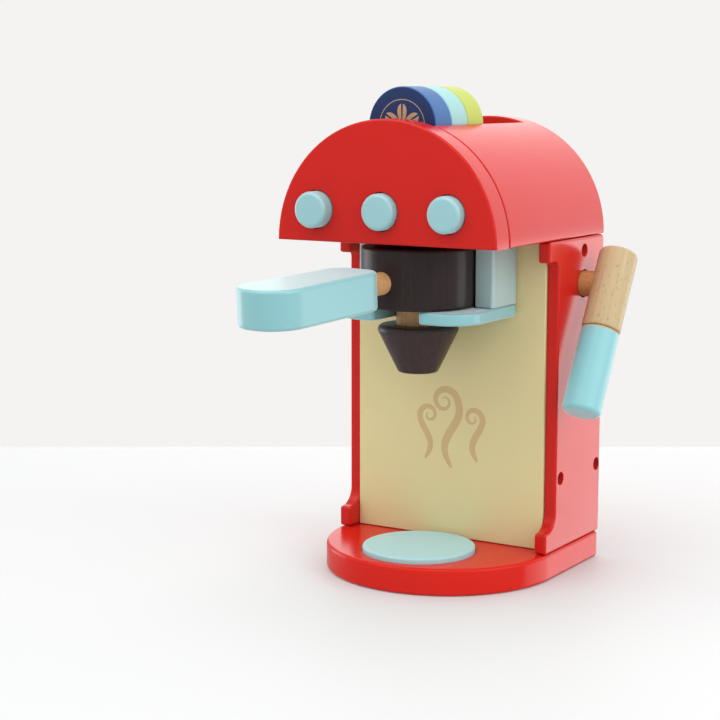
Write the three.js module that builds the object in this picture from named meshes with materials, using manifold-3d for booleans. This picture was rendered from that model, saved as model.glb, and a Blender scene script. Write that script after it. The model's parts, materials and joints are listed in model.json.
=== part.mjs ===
// A wooden toy coffee maker: board carcass, round-topped head with three push buttons,
// a pull-out filter holder in a fork, a side lever and three pods in a slot in the top.
// Millimetres, +Z up, +X to the right of someone facing it, +Y to the back.
// The origin is on the table, under the middle of the base.
import * as THREE from "three";
import { mergeVertices } from "three/addons/utils/BufferGeometryUtils.js";
import Module from "manifold-3d";

const wasm = await Module();
wasm.setup();

// Carcass: the head's arch sets the width, and two board stocks make every panel.
const headRadius = 65;
const archFlattening = 1.2;
const headOverhang = 60.9;
const sideDepth = 68.1;
const sideHeight = 167.85;
const thickBoard = 14.7;
const thinBoard = 7;
const seam = 0.3;
const boardEdge = 0.8;
const cornerRoom = 0.6;
const baseEdge = 1.6;
const baseSetback = 1;
const rearCornerRadius = 3;

// Side panels: each front edge is cut back between an upper and a lower lug.
const recessDepth = 11.4;
const lugHeight = 11.3;
const lowerCoveRadius = 9.5;
const upperCoveRadius = 3.5;
const splashProud = 1.4;

// Head: hood slot, the shelf under it and the rails beside it.
const slotHalfWidth = 20.6;
const slotBridge = 13.4;
const shelfDrop = 25.4;
const shelfThickness = 5;
const railWidth = 6;

// Pods standing in the slot.
const podRadius = 20.1;
const podThickness = 17.1;
const podSetback = 3.9;
const podEdge = 0.7;
const podLift = 0.3;

// Push buttons: a turned cap with a flange behind the panel, on a dowel stem.
const buttonSideRoom = 26;
const buttonShift = -1.6;
const buttonRise = 16.7;
const capRadius = 9.5;
const leftCapProud = 7.3;
const middleCapProud = 4.6;
const rightCapProud = 5.4;
const capEdge = 2;
const capClearance = 0.5;
const flangeRadius = 12;
const flangeThickness = 2.5;
const flangeGap = 1.4;
const stemRadius = 3.5;
const stemSocket = 8;
const stemClearance = 0.5;
const stemTail = 2;
const guideThickness = 6;
const guideAbove = 12;
const springRoom = 11;
const springRadius = 5.2;
const springWire = 0.9;
const springTurns = 5;

// Filter holder: it hangs by its neck in the fork under the group block.
const groupBack = 34.1;
const blockHalfWidth = 41.2;
const blockFrontBack = 6.5;
const blockHeight = 34.6;
const blockEdge = 1;
const seatClearance = 1.1;
const forkThickness = 6.5;
const forkReach = 24;
const forkCornerRadius = 18;
const forkTipRadius = 2;
const forkEdge = 1.2;
const cylinderRadius = 30.4;
const cylinderHeight = 32;
const cylinderEdge = 1.5;
const neckRadius = 11.8;
const neckClearance = 1.5;
const neckSocket = 11;
const neckShow = 3;
const coneTopRadius = 23.1;
const coneFootRadius = 10.5;
const coneHeight = 25.7;
const coneTopEdge = 2.5;
const coneFootEdge = 1.8;

// Its handle slopes down a little and stands a few degrees left of straight ahead.
const handleTurn = 9.1;
const handleDroop = 3;
const handleRise = 15.8;
const handleStart = 46.4;
const handleLength = 81.6;
const handleRootWidth = 32;
const handleEndWidth = 39.5;
const handleRootRadius = 11;
const handleEndRadius = 17.6;
const handleHeight = 20;
const handleEdge = 2;
const dowelRadius = 6;
const dowelSocket = 17;

// Side lever: a peg through the right panel carries a barrel and a painted grip.
const leverDrop = 25.35;
const leverTilt = 29.5;
const leverStandOff = 16.1;
const leverRadius = 10.5;
const leverAbove = 19.5;
const barrelBelow = 26.5;
const gripLength = 47.5;
const leverEndEdge = 2.6;
const leverJointEdge = 0.7;
const tenonRadius = 5;
const tenonLength = 12;
const pegRadius = 7;
const pegClearance = 0.5;
const collarRadius = 10;
const collarThickness = 4;

// Drip disc let into the base.
const discFrontRoom = 6.7;
const discBackRoom = 2;
const discProud = 3;
const discDepth = 3;
const discEdge = 0.9;

// Countersunk wood screws.
const screwHeadRadius = 3.1;
const screwHeadDepth = 2.2;
const screwShankRadius = 1.6;
const screwLength = 20;
const screwSink = 2.8;
const screwGap = 0.3;
const screwLip = 0.3;
const lowScrewZ = 54;
const baseScrewInset = 20;
const backScrewInset = 4.8;
const driveRadius = 1.2;
const driveDepth = 1.4;
const driveSides = 4;

// Steps round curves, the overrun of every cut and the distance within which vertices merge.
const archSteps = 36;
const roundSteps = 28;
const smallSteps = 12;
const filletSteps = 5;
const edgeSteps = 1;
const turnedSteps = 2;
const springSteps = 8;
const springSides = 5;
const overrun = 2;
const weld = 0.0005;

// Levels and faces that the pieces share.
const frontY = -headRadius;
const rearY = frontY + headOverhang + sideDepth;
const panelRearY = frontY + thickBoard;
const innerHalf = headRadius - thinBoard;
const boardHalf = innerHalf - seam;
const sideBottom = thickBoard + seam;
const sideTop = sideBottom + sideHeight;
const headBottom = sideTop + seam;
const sideFrontY = frontY + headOverhang;
const recessY = sideFrontY + recessDepth;
const splashY = recessY - splashProud;
const splashRearY = splashY + thickBoard;
const boardRearY = rearY - thinBoard - seam;
const shelfRise = headRadius - shelfDrop;
const shelfTop = headBottom + shelfRise;
const middleY = (splashRearY + boardRearY) / 2;
const blockRearY = splashY - seam;
const groupY = blockRearY - groupBack;
const blockBottom = sideTop - blockHeight;
const forkTop = blockBottom - seam;
const forkBottom = forkTop - forkThickness;
const cylinderBottom = forkTop + seam;
const coneTop = forkBottom - neckShow;
const coneBottom = coneTop - coneHeight;
const buttonSpacing = headRadius - buttonSideRoom;
const buttonZ = headBottom + buttonRise;
const handleZ = cylinderBottom + handleRise;
const leverX = headRadius + leverStandOff;
const leverY = middleY;
const leverZ = sideTop - leverDrop;

const paints = {
  red: [0xd2262b, 0.38],
  paleBlue: [0x9fd3d6, 0.4],
  brown: [0x3d312e, 0.45],
  cream: [0xdcd3a4, 0.5],
  beech: [0xd9b988, 0.6],
  fibreboard: [0xb08d63, 0.8],
  blue: [0x3f66a8, 0.4],
  aqua: [0xa9e0dc, 0.4],
  lime: [0xcbdc5f, 0.4],
};

function paint(name) {
  const [color, roughness] = paints[name];
  return new THREE.MeshStandardMaterial({ color, roughness, metalness: 0 });
}

const steel = new THREE.MeshStandardMaterial({ color: 0xb9bcc0, roughness: 0.3, metalness: 1 });

function mesh(name, geometry, material) {
  const made = new THREE.Mesh(geometry, material);
  made.name = name;
  return made;
}

// A closed geometry as a solid that can be joined and cut.
function solid(geometry) {
  const bare = geometry.index ? geometry.toNonIndexed() : geometry.clone();
  bare.deleteAttribute("normal");
  bare.deleteAttribute("uv");
  const merged = mergeVertices(bare, weld);
  return new wasm.Manifold(
    new wasm.Mesh({
      numProp: 3,
      vertProperties: merged.attributes.position.array,
      triVerts: new Uint32Array(merged.index.array),
    }),
  );
}

function geometryOf(body) {
  const { vertProperties, triVerts } = body.getMesh();
  const geometry = new THREE.BufferGeometry();
  geometry.setAttribute("position", new THREE.BufferAttribute(new Float32Array(vertProperties), 3));
  geometry.setIndex(new THREE.BufferAttribute(new Uint32Array(triVerts), 1));
  geometry.computeVertexNormals();
  return geometry;
}

function cut(geometry, tools) {
  let body = solid(geometry);
  for (const tool of tools) {
    body = body.subtract(solid(tool));
  }
  return geometryOf(body);
}

function join(geometry, others) {
  let body = solid(geometry);
  for (const other of others) {
    body = body.add(solid(other));
  }
  return geometryOf(body);
}

// Points along an arc, both ends included.
function arc(x, y, radius, from, to, steps) {
  const points = [];
  for (let i = 0; i <= steps; i++) {
    const angle = from + ((to - from) * i) / steps;
    points.push(new THREE.Vector2(x + radius * Math.cos(angle), y + radius * Math.sin(angle)));
  }
  return points;
}

// A closed outline with a fillet at each corner; a corner is [x, y, radius].
function filleted(corners, steps = filletSteps) {
  const points = [];
  corners.forEach(([x, y, radius], i) => {
    const here = new THREE.Vector2(x, y);
    if (!radius) {
      points.push(here);
      return;
    }
    const before = corners[(i + corners.length - 1) % corners.length];
    const after = corners[(i + 1) % corners.length];
    const back = new THREE.Vector2(before[0] - x, before[1] - y).normalize();
    const ahead = new THREE.Vector2(after[0] - x, after[1] - y).normalize();
    const half = Math.acos(THREE.MathUtils.clamp(back.dot(ahead), -1, 1)) / 2;
    const middle = back.clone().add(ahead).normalize();
    const centre = here.clone().addScaledVector(middle, radius / Math.sin(half));
    const start = here.clone().addScaledVector(back, radius / Math.tan(half)).sub(centre);
    const turn = (Math.PI - 2 * half) * Math.sign(ahead.cross(back));
    const from = Math.atan2(start.y, start.x);
    points.push(...arc(centre.x, centre.y, radius, from, from + turn, steps));
  });
  return points;
}

// A board lying flat: the outline in plan, its underside at z 0, all long edges eased.
function board(points, thickness, edge, holes = []) {
  const shape = new THREE.Shape(points);
  shape.holes = holes.map((hole) => new THREE.Path(hole));
  return new THREE.ExtrudeGeometry(shape, {
    depth: thickness - 2 * edge,
    bevelThickness: edge,
    bevelSize: edge,
    bevelOffset: -edge,
    bevelSegments: edgeSteps,
    steps: 1,
  }).translate(0, 0, edge);
}

const facing = new THREE.Matrix4().makeBasis(
  new THREE.Vector3(1, 0, 0),
  new THREE.Vector3(0, 0, 1),
  new THREE.Vector3(0, -1, 0),
);
const sideways = new THREE.Matrix4().makeBasis(
  new THREE.Vector3(0, 1, 0),
  new THREE.Vector3(0, 0, 1),
  new THREE.Vector3(1, 0, 0),
);

// A board standing across the machine: outline in X and Z, its front face at y.
function standing(points, thickness, edge, y, holes) {
  return board(points, thickness, edge, holes).applyMatrix4(facing).translate(0, y + thickness, 0);
}

// A board standing fore and aft: outline in Y and Z, its left face at x.
function fore(points, thickness, edge, x) {
  return board(points, thickness, edge).applyMatrix4(sideways).translate(x, 0, 0);
}

function rectangle(x0, y0, x1, y1, radius = 0) {
  return filleted([
    [x0, y0, radius],
    [x1, y0, radius],
    [x1, y1, radius],
    [x0, y1, radius],
  ]);
}

function block(x0, y0, z0, x1, y1, z1) {
  return new THREE.BoxGeometry(x1 - x0, y1 - y0, z1 - z0).translate(
    (x0 + x1) / 2,
    (y0 + y1) / 2,
    (z0 + z1) / 2,
  );
}

// A round bar along Z from z0 to z1.
function bar(radius, z0, z1, steps) {
  return new THREE.CylinderGeometry(radius, radius, z1 - z0, steps)
    .rotateX(Math.PI / 2)
    .translate(0, 0, (z0 + z1) / 2);
}

// A turned piece about Z; each corner of its profile is [radius, z, fillet].
function turned(corners, steps) {
  return new THREE.LatheGeometry(filleted(corners, turnedSteps), steps).rotateX(Math.PI / 2);
}

// Turns a piece made along +Z so that it runs to the back, to the front or to the right.
function alongY(geometry) {
  return geometry.rotateX(-Math.PI / 2);
}

function alongYFront(geometry) {
  return geometry.rotateX(Math.PI / 2);
}

function alongX(geometry) {
  return geometry.rotateY(Math.PI / 2);
}

// An arch on the head's underside, a little lower than a half circle.
function half(radius) {
  const share = (radius - archFlattening) / radius;
  return arc(0, 0, radius, 0, Math.PI, archSteps).map(
    (point) => new THREE.Vector2(point.x, headBottom + point.y * share),
  );
}

// Every board screw: where its head starts, which way it drives and what it is called.
const screwPlaces = [];
for (const [side, name] of [[-1, "left"], [1, "right"]]) {
  const x = side * headRadius;
  const inward = new THREE.Vector3(-side, 0, 0);
  const splashMiddle = splashY + thickBoard / 2;
  const backLine = rearY - backScrewInset;
  const topZ = sideTop - thickBoard / 2;
  const baseX = side * (boardHalf - baseScrewInset);
  const up = new THREE.Vector3(0, 0, 1);
  screwPlaces.push(
    { name: `splash_screw_${name}`, at: new THREE.Vector3(x, splashMiddle, lowScrewZ), drive: inward },
    { name: `back_screw_${name}`, at: new THREE.Vector3(x, backLine, lowScrewZ), drive: inward },
    { name: `top_screw_${name}`, at: new THREE.Vector3(x, middleY, topZ), drive: inward },
    { name: `base_screw_${name}`, at: new THREE.Vector3(baseX, splashMiddle, 0), drive: up },
  );
}

// Turns a piece made along +Z so that it runs the way a screw drives, from its head's place.
function driven(geometry, place) {
  const turn = new THREE.Quaternion().setFromUnitVectors(new THREE.Vector3(0, 0, 1), place.drive);
  return geometry.applyQuaternion(turn).translate(place.at.x, place.at.y, place.at.z);
}

function screwHoles() {
  return screwPlaces.map((place) =>
    driven(
      turned(
        [
          [0, -overrun, 0],
          [screwHeadRadius + screwGap, -overrun, 0],
          [screwHeadRadius + screwGap, screwSink + screwGap, 0],
          [screwShankRadius + screwGap, screwSink + screwHeadDepth + screwGap, 0],
          [screwShankRadius + screwGap, screwSink + screwLength + screwGap, 0],
          [0, screwSink + screwLength + screwGap, 0],
        ],
        smallSteps,
      ),
      place,
    ),
  );
}

function screw(place) {
  const body = turned(
    [
      [0, screwSink, 0],
      [screwHeadRadius, screwSink, 0],
      [screwHeadRadius, screwSink + screwLip, 0],
      [screwShankRadius, screwSink + screwHeadDepth, 0],
      [screwShankRadius, screwSink + screwLength - screwHeadDepth, 0],
      [0, screwSink + screwLength, 0],
    ],
    smallSteps,
  );
  const socket = bar(driveRadius, screwSink - overrun, screwSink + driveDepth, driveSides);
  return mesh(place.name, driven(cut(body, [socket]), place), steel);
}

const baseFrontY = frontY + baseSetback;
const discRadius = (splashY - discBackRoom - baseFrontY - discFrontRoom) / 2;
const discY = baseFrontY + discFrontRoom + discRadius;

function baseBoard() {
  const arcY = baseFrontY + headRadius;
  const outline = [
    ...arc(0, arcY, headRadius, Math.PI, 2 * Math.PI, archSteps),
    ...filleted([
      [headRadius, arcY, 0],
      [headRadius, rearY, baseEdge + cornerRoom],
      [-headRadius, rearY, baseEdge + cornerRoom],
      [-headRadius, arcY, 0],
    ]).slice(1, -1),
  ];
  const pocket = bar(discRadius + seam, thickBoard - discDepth, thickBoard + overrun, archSteps);
  pocket.translate(0, discY, 0);
  const geometry = cut(board(outline, thickBoard, baseEdge), [pocket, ...screwHoles()]);
  return mesh("base_board", geometry, paint("red"));
}

function dripDisc() {
  const height = discDepth + discProud - seam;
  const disc = turned(
    [
      [0, 0, 0],
      [discRadius, 0, 0],
      [discRadius, height, discEdge],
      [0, height, 0],
    ],
    archSteps,
  );
  disc.translate(0, discY, thickBoard - discDepth + seam);
  return mesh("drip_disc", disc, paint("paleBlue"));
}

function sidePanel(side, name) {
  const outline = filleted([
    [rearY, sideBottom, boardEdge + cornerRoom],
    [rearY, sideTop, rearCornerRadius],
    [sideFrontY, sideTop, boardEdge + cornerRoom],
    [sideFrontY, sideTop - lugHeight, boardEdge + cornerRoom],
    [recessY, sideTop - lugHeight, upperCoveRadius],
    [recessY, sideBottom + lugHeight, lowerCoveRadius],
    [sideFrontY, sideBottom + lugHeight, boardEdge + cornerRoom],
    [sideFrontY, sideBottom, boardEdge + cornerRoom],
  ]);
  const x = side > 0 ? innerHalf : -headRadius;
  const holes = screwHoles();
  if (side > 0) {
    const hole = bar(pegRadius + pegClearance, innerHalf - overrun, headRadius + overrun, roundSteps);
    holes.push(alongX(hole).translate(0, leverY, leverZ));
  }
  return mesh(`side_panel_${name}`, cut(fore(outline, thinBoard, boardEdge, x), holes), paint("red"));
}

function splashPanel() {
  const outline = rectangle(-boardHalf, sideBottom, boardHalf, sideTop);
  const geometry = standing(outline, thickBoard, boardEdge, splashY);
  return mesh("splash_panel", cut(geometry, screwHoles()), paint("cream"));
}

function backBoard() {
  const outline = [
    new THREE.Vector2(-boardHalf, sideBottom),
    new THREE.Vector2(boardHalf, sideBottom),
    ...half(boardHalf),
  ];
  const geometry = standing(outline, thinBoard, boardEdge, rearY - thinBoard);
  return mesh("back_board", cut(geometry, screwHoles()), paint("red"));
}

function bodyTopBoard() {
  const outline = rectangle(-boardHalf, splashRearY + seam, boardHalf, boardRearY);
  const geometry = board(outline, thickBoard, boardEdge).translate(0, 0, sideTop - thickBoard);
  return mesh("body_top_board", cut(geometry, screwHoles()), paint("fibreboard"));
}

// Half the clear width under the hood at a height above the head's underside.
function archHalf(rise) {
  return innerHalf * Math.sqrt(1 - (rise / (innerHalf - archFlattening)) ** 2) - seam;
}

// The clear height under the hood at a distance from its middle.
function archRise(out) {
  return (innerHalf - archFlattening) * Math.sqrt(1 - (out / innerHalf) ** 2) - seam;
}

function headFloor() {
  const halfWidth = archHalf(thinBoard);
  const outline = rectangle(-halfWidth, panelRearY + seam, halfWidth, boardRearY);
  const geometry = board(outline, thinBoard, boardEdge).translate(0, 0, headBottom);
  return mesh("head_floor", geometry, paint("red"));
}

function buttonX(place) {
  return buttonShift + place * buttonSpacing;
}

// Three round holes in a row, one for each button.
function buttonHoles(radius, steps) {
  return [-1, 0, 1].map((place) =>
    arc(buttonX(place), buttonZ, radius, 0, 2 * Math.PI, steps).slice(0, -1),
  );
}

function headFrontPanel() {
  const holes = buttonHoles(capRadius + capClearance, roundSteps);
  const geometry = standing(half(headRadius), thickBoard, boardEdge, frontY, holes);
  return mesh("head_front_panel", geometry, paint("red"));
}

function hood() {
  const outline = [...half(headRadius), ...half(innerHalf).reverse()];
  const start = panelRearY + seam;
  const shell = standing(outline, rearY - start, boardEdge, start);
  const slot = block(
    -slotHalfWidth,
    start - overrun,
    shelfTop,
    slotHalfWidth,
    rearY - slotBridge,
    headBottom + headRadius + overrun,
  );
  return mesh("hood", cut(shell, [slot]), paint("red"));
}

function podShelf() {
  const halfWidth = archHalf(shelfRise);
  const outline = rectangle(-halfWidth, panelRearY + seam, halfWidth, boardRearY);
  const geometry = board(outline, shelfThickness, boardEdge).translate(0, 0, shelfTop - shelfThickness);
  return mesh("pod_shelf", geometry, paint("fibreboard"));
}

function slotRail(side, name) {
  const inner = slotHalfWidth + seam;
  const outer = inner + railWidth;
  const bottom = shelfTop + seam;
  const top = headBottom + archRise(outer);
  const outline = rectangle(inner, bottom, outer, top);
  const rail = standing(outline, boardRearY - panelRearY - seam, boardEdge, panelRearY + seam);
  if (side < 0) {
    rail.rotateZ(Math.PI).translate(0, panelRearY + seam + boardRearY, 0);
  }
  return mesh(`slot_rail_${name}`, rail, paint("fibreboard"));
}

const guideY = panelRearY + seam + flangeThickness + springRoom;

function buttonGuideBoard() {
  const bottom = headBottom + thinBoard + seam;
  const top = Math.min(buttonZ + guideAbove, shelfTop - shelfThickness - seam);
  const halfWidth = archHalf(top - headBottom) - seam;
  const holes = buttonHoles(stemRadius + stemClearance, smallSteps);
  const outline = rectangle(-halfWidth, bottom, halfWidth, top);
  const geometry = standing(outline, guideThickness, boardEdge, guideY, holes);
  return mesh("button_guide_board", geometry, paint("fibreboard"));
}

// The cap runs from its rounded front edge to a flange with two flats behind the panel.
function buttonCap(name, proud) {
  const flangeFront = thickBoard + seam;
  const flangeBack = flangeFront + flangeThickness;
  const socket = stemRadius + seam;
  const cap = turned(
    [
      [0, -flangeBack, 0],
      [flangeRadius, -flangeBack, 0],
      [flangeRadius, -flangeFront, 0],
      [capRadius, -flangeFront, 0],
      [capRadius, proud, capEdge],
      [0, proud, 0],
    ],
    roundSteps,
  );
  const roomBelow = buttonRise - thinBoard - flangeGap;
  const roomAbove = shelfRise - shelfThickness - buttonRise - flangeGap;
  const flat = Math.min(roomBelow, roomAbove);
  const wide = flangeRadius + overrun;
  const tools = [bar(socket, -flangeBack - overrun, -flangeBack + stemSocket, smallSteps)];
  for (const side of [-1, 1]) {
    const low = Math.min(side * flat, side * wide);
    const high = Math.max(side * flat, side * wide);
    tools.push(block(-wide, low, -flangeBack - overrun, wide, high, -flangeFront));
  }
  return mesh(`button_cap_${name}`, alongYFront(cut(cap, tools)), paint("paleBlue"));
}

function buttonStem(name) {
  const back = thickBoard + seam + flangeThickness;
  const start = back - stemSocket + seam;
  const end = back + springRoom + guideThickness + stemTail;
  return mesh(`button_stem_${name}`, alongY(bar(stemRadius, start, end, smallSteps)), paint("beech"));
}

class Helix extends THREE.Curve {
  constructor(radius, length, turns) {
    super();
    Object.assign(this, { radius, length, turns });
  }

  getPoint(t, target = new THREE.Vector3()) {
    const angle = 2 * Math.PI * this.turns * t;
    return target.set(this.radius * Math.cos(angle), this.length * t, this.radius * Math.sin(angle));
  }
}

// A return spring round the stem, between the flange and the guide board.
function buttonSpring(name) {
  const from = thickBoard + seam + flangeThickness + seam + springWire / 2;
  const length = springRoom - 2 * seam - springWire;
  const path = new Helix(springRadius, length, springTurns);
  const section = new THREE.Shape(arc(0, 0, springWire / 2, 0, 2 * Math.PI, springSides).slice(0, -1));
  const geometry = new THREE.ExtrudeGeometry(section, {
    steps: springTurns * springSteps,
    extrudePath: path,
    bevelEnabled: false,
  });
  return mesh(`button_spring_${name}`, geometry.translate(0, from, 0), steel);
}

function springGap() {
  const pitch = (springRoom - 2 * seam - springWire) / springTurns;
  const path = new Helix(springRadius, pitch * springTurns, springTurns);
  const points = path.getPoints(springTurns * springSteps);
  let least = Infinity;
  points.forEach((a, i) => {
    points.slice(i + springSteps / 2 + 1).forEach((b) => {
      least = Math.min(least, a.distanceTo(b) - springWire);
    });
  });
  return least;
}

function buttons() {
  const group = new THREE.Group();
  const row = [
    [-1, "left", leftCapProud],
    [0, "middle", middleCapProud],
    [1, "right", rightCapProud],
  ];
  for (const [place, name, proud] of row) {
    const button = new THREE.Group();
    button.position.set(buttonX(place), frontY, buttonZ);
    button.add(buttonCap(name, proud), buttonStem(name), buttonSpring(name));
    group.add(button);
  }
  return group;
}

function groupBlock() {
  const front = groupY + blockFrontBack;
  const corner = blockEdge + cornerRoom;
  const outline = rectangle(-blockHalfWidth, front, blockHalfWidth, blockRearY, corner);
  const geometry = board(outline, blockHeight, blockEdge).translate(0, 0, blockBottom);
  const seat = bar(cylinderRadius + seatClearance, blockBottom - overrun, sideTop + overrun, archSteps);
  return mesh("group_block", cut(geometry, [seat.translate(0, groupY, 0)]), paint("paleBlue"));
}

function forkPlate() {
  const slotHalf = neckRadius + neckClearance;
  const front = groupY - forkReach;
  const throat = arc(0, groupY, slotHalf, Math.PI, 0, roundSteps / 2);
  const prong = filleted([
    [slotHalf, groupY, 0],
    [slotHalf, front, forkTipRadius],
    [blockHalfWidth, front, forkCornerRadius],
    [blockHalfWidth, blockRearY, forkEdge + cornerRoom],
    [0, blockRearY, 0],
  ]).slice(1, -1);
  const mirrored = prong.map((p) => new THREE.Vector2(-p.x, p.y)).reverse();
  const geometry = board([...throat, ...prong, ...mirrored], forkThickness, forkEdge);
  return mesh("fork_plate", geometry.translate(0, 0, forkBottom), paint("paleBlue"));
}

function filterNeck() {
  const bottom = coneTop - neckSocket + seam;
  const top = cylinderBottom + neckSocket - seam;
  return mesh("filter_neck", bar(neckRadius, bottom, top, roundSteps), paint("beech"));
}

function neckHole(z0, z1) {
  return bar(neckRadius + seam, z0, z1, roundSteps);
}

function spoutCone() {
  const cone = turned(
    [
      [0, coneBottom, 0],
      [coneFootRadius, coneBottom, coneFootEdge],
      [coneTopRadius, coneTop, coneTopEdge],
      [0, coneTop, 0],
    ],
    archSteps,
  );
  const geometry = cut(cone, [neckHole(coneTop - neckSocket, coneTop + overrun)]);
  return mesh("spout_cone", geometry, paint("brown"));
}

// The handle's axis: along +X in its own frame, sloping down and turned from straight ahead.
const droop = THREE.MathUtils.degToRad(handleDroop);
const ahead = THREE.MathUtils.degToRad(-90 - handleTurn);

function aimHandle(object) {
  object.rotation.set(0, droop, ahead, "ZYX");
  object.position.set(0, 0, handleZ);
  return object;
}

function filterCylinder() {
  const drum = turned(
    [
      [0, cylinderBottom, 0],
      [cylinderRadius, cylinderBottom, cylinderEdge],
      [cylinderRadius, cylinderBottom + cylinderHeight, cylinderEdge],
      [0, cylinderBottom + cylinderHeight, 0],
    ],
    archSteps,
  );
  const aim = aimHandle(new THREE.Object3D());
  aim.updateMatrix();
  const dowel = alongX(
    bar(dowelRadius + seam, cylinderRadius - dowelSocket, cylinderRadius + overrun, smallSteps),
  ).applyMatrix4(aim.matrix);
  const neck = neckHole(cylinderBottom - overrun, cylinderBottom + neckSocket);
  return mesh("filter_cylinder", cut(drum, [dowel, neck]), paint("brown"));
}

function handleDowel() {
  const from = cylinderRadius - dowelSocket + seam;
  const to = handleStart + dowelSocket - seam;
  return mesh("handle_dowel", alongX(bar(dowelRadius, from, to, smallSteps)), paint("beech"));
}

// In plan the handle widens from its dowel end to a nearly round far end.
function filterHandle() {
  const end = handleStart + handleLength;
  const rootRadius = Math.min(handleRootRadius, handleRootWidth / 2 - handleEdge);
  const endRadius = Math.min(handleEndRadius, handleEndWidth / 2 - handleEdge);
  const outline = filleted([
    [handleStart, -handleRootWidth / 2, rootRadius],
    [end, -handleEndWidth / 2, endRadius],
    [end, handleEndWidth / 2, endRadius],
    [handleStart, handleRootWidth / 2, rootRadius],
  ]);
  const plank = board(outline, handleHeight, handleEdge).translate(0, 0, -handleHeight / 2);
  const hole = bar(dowelRadius + seam, handleStart - overrun, handleStart + dowelSocket, smallSteps);
  return mesh("filter_handle", cut(plank, [alongX(hole)]), paint("paleBlue"));
}

function filterHolder() {
  const group = new THREE.Group();
  group.position.y = groupY;
  const handle = aimHandle(new THREE.Group());
  handle.add(handleDowel(), filterHandle());
  group.add(filterNeck(), spoutCone(), filterCylinder(), handle);
  return group;
}

const collarX = innerHalf - seam - collarThickness;

function leverScrewHole() {
  const depth = collarX + screwLength + screwGap;
  return alongX(bar(screwShankRadius + screwGap, collarX - overrun, depth, smallSteps));
}

function leverPeg() {
  const geometry = alongX(bar(pegRadius, innerHalf, leverX, roundSteps));
  return mesh("lever_peg", cut(geometry, [leverScrewHole()]), paint("beech"));
}

function leverCollar() {
  const geometry = alongX(bar(collarRadius, collarX, collarX + collarThickness, roundSteps));
  return mesh("lever_collar", cut(geometry, [leverScrewHole()]), paint("beech"));
}

// A pan-head screw holds the collar on the peg.
function leverScrew() {
  const head = alongX(
    turned(
      [
        [0, -screwHeadDepth, 0],
        [screwHeadRadius, -screwHeadDepth, screwHeadDepth / 2],
        [screwHeadRadius, -seam, 0],
        [screwShankRadius, -seam, 0],
        [screwShankRadius, screwLength, 0],
        [0, screwLength, 0],
      ],
      smallSteps,
    ),
  );
  return mesh("lever_screw", head.translate(collarX, 0, 0), steel);
}

function leverBarrel() {
  const barrel = turned(
    [
      [0, -barrelBelow, 0],
      [leverRadius, -barrelBelow, leverJointEdge],
      [leverRadius, leverAbove, leverEndEdge],
      [0, leverAbove, 0],
    ],
    roundSteps,
  ).translate(leverX, 0, 0);
  const peg = alongX(bar(pegRadius + seam, leverX - leverRadius - overrun, leverX + seam, roundSteps));
  const socketTop = -barrelBelow + tenonLength;
  const tenon = bar(tenonRadius + seam, -barrelBelow - overrun, socketTop, smallSteps);
  return mesh("lever_barrel", cut(barrel, [peg, tenon.translate(leverX, 0, 0)]), paint("beech"));
}

function leverGrip() {
  const top = -barrelBelow - seam;
  const grip = turned(
    [
      [0, top - gripLength, 0],
      [leverRadius, top - gripLength, leverEndEdge],
      [leverRadius, top, leverJointEdge],
      [0, top, 0],
    ],
    roundSteps,
  );
  const tenon = bar(tenonRadius, top - overrun, top + tenonLength, smallSteps);
  return mesh("lever_grip", join(grip, [tenon]).translate(leverX, 0, 0), paint("paleBlue"));
}

function lever() {
  const group = new THREE.Group();
  group.position.set(0, leverY, leverZ);
  group.rotation.x = THREE.MathUtils.degToRad(-leverTilt);
  group.add(leverPeg(), leverCollar(), leverScrew(), leverBarrel(), leverGrip());
  return group;
}

function pods() {
  const group = new THREE.Group();
  [["front", "blue"], ["middle", "aqua"], ["rear", "lime"]].forEach(([name, colour], i) => {
    const pod = turned(
      [
        [0, 0, 0],
        [podRadius, 0, podEdge],
        [podRadius, podThickness, podEdge],
        [0, podThickness, 0],
      ],
      archSteps,
    );
    const made = mesh(`pod_${name}`, alongY(pod), paint(colour));
    const y = panelRearY + podSetback + i * (podThickness + seam);
    made.position.set(0, y, shelfTop + podLift + podRadius);
    group.add(made);
  });
  return group;
}

const machine = new THREE.Group();
machine.add(
  baseBoard(),
  dripDisc(),
  sidePanel(-1, "left"),
  sidePanel(1, "right"),
  splashPanel(),
  backBoard(),
  bodyTopBoard(),
  headFloor(),
  headFrontPanel(),
  hood(),
  podShelf(),
  slotRail(-1, "left"),
  slotRail(1, "right"),
  buttonGuideBoard(),
  buttons(),
  groupBlock(),
  forkPlate(),
  filterHolder(),
  lever(),
  pods(),
  ...screwPlaces.map(screw),
);
console.log(`spring: least gap between turns ${springGap().toFixed(2)} mm`);

export default machine;
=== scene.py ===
import json
import math

import bpy
from mathutils import Matrix, Vector
from mathutils.geometry import tessellate_polygon


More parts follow.
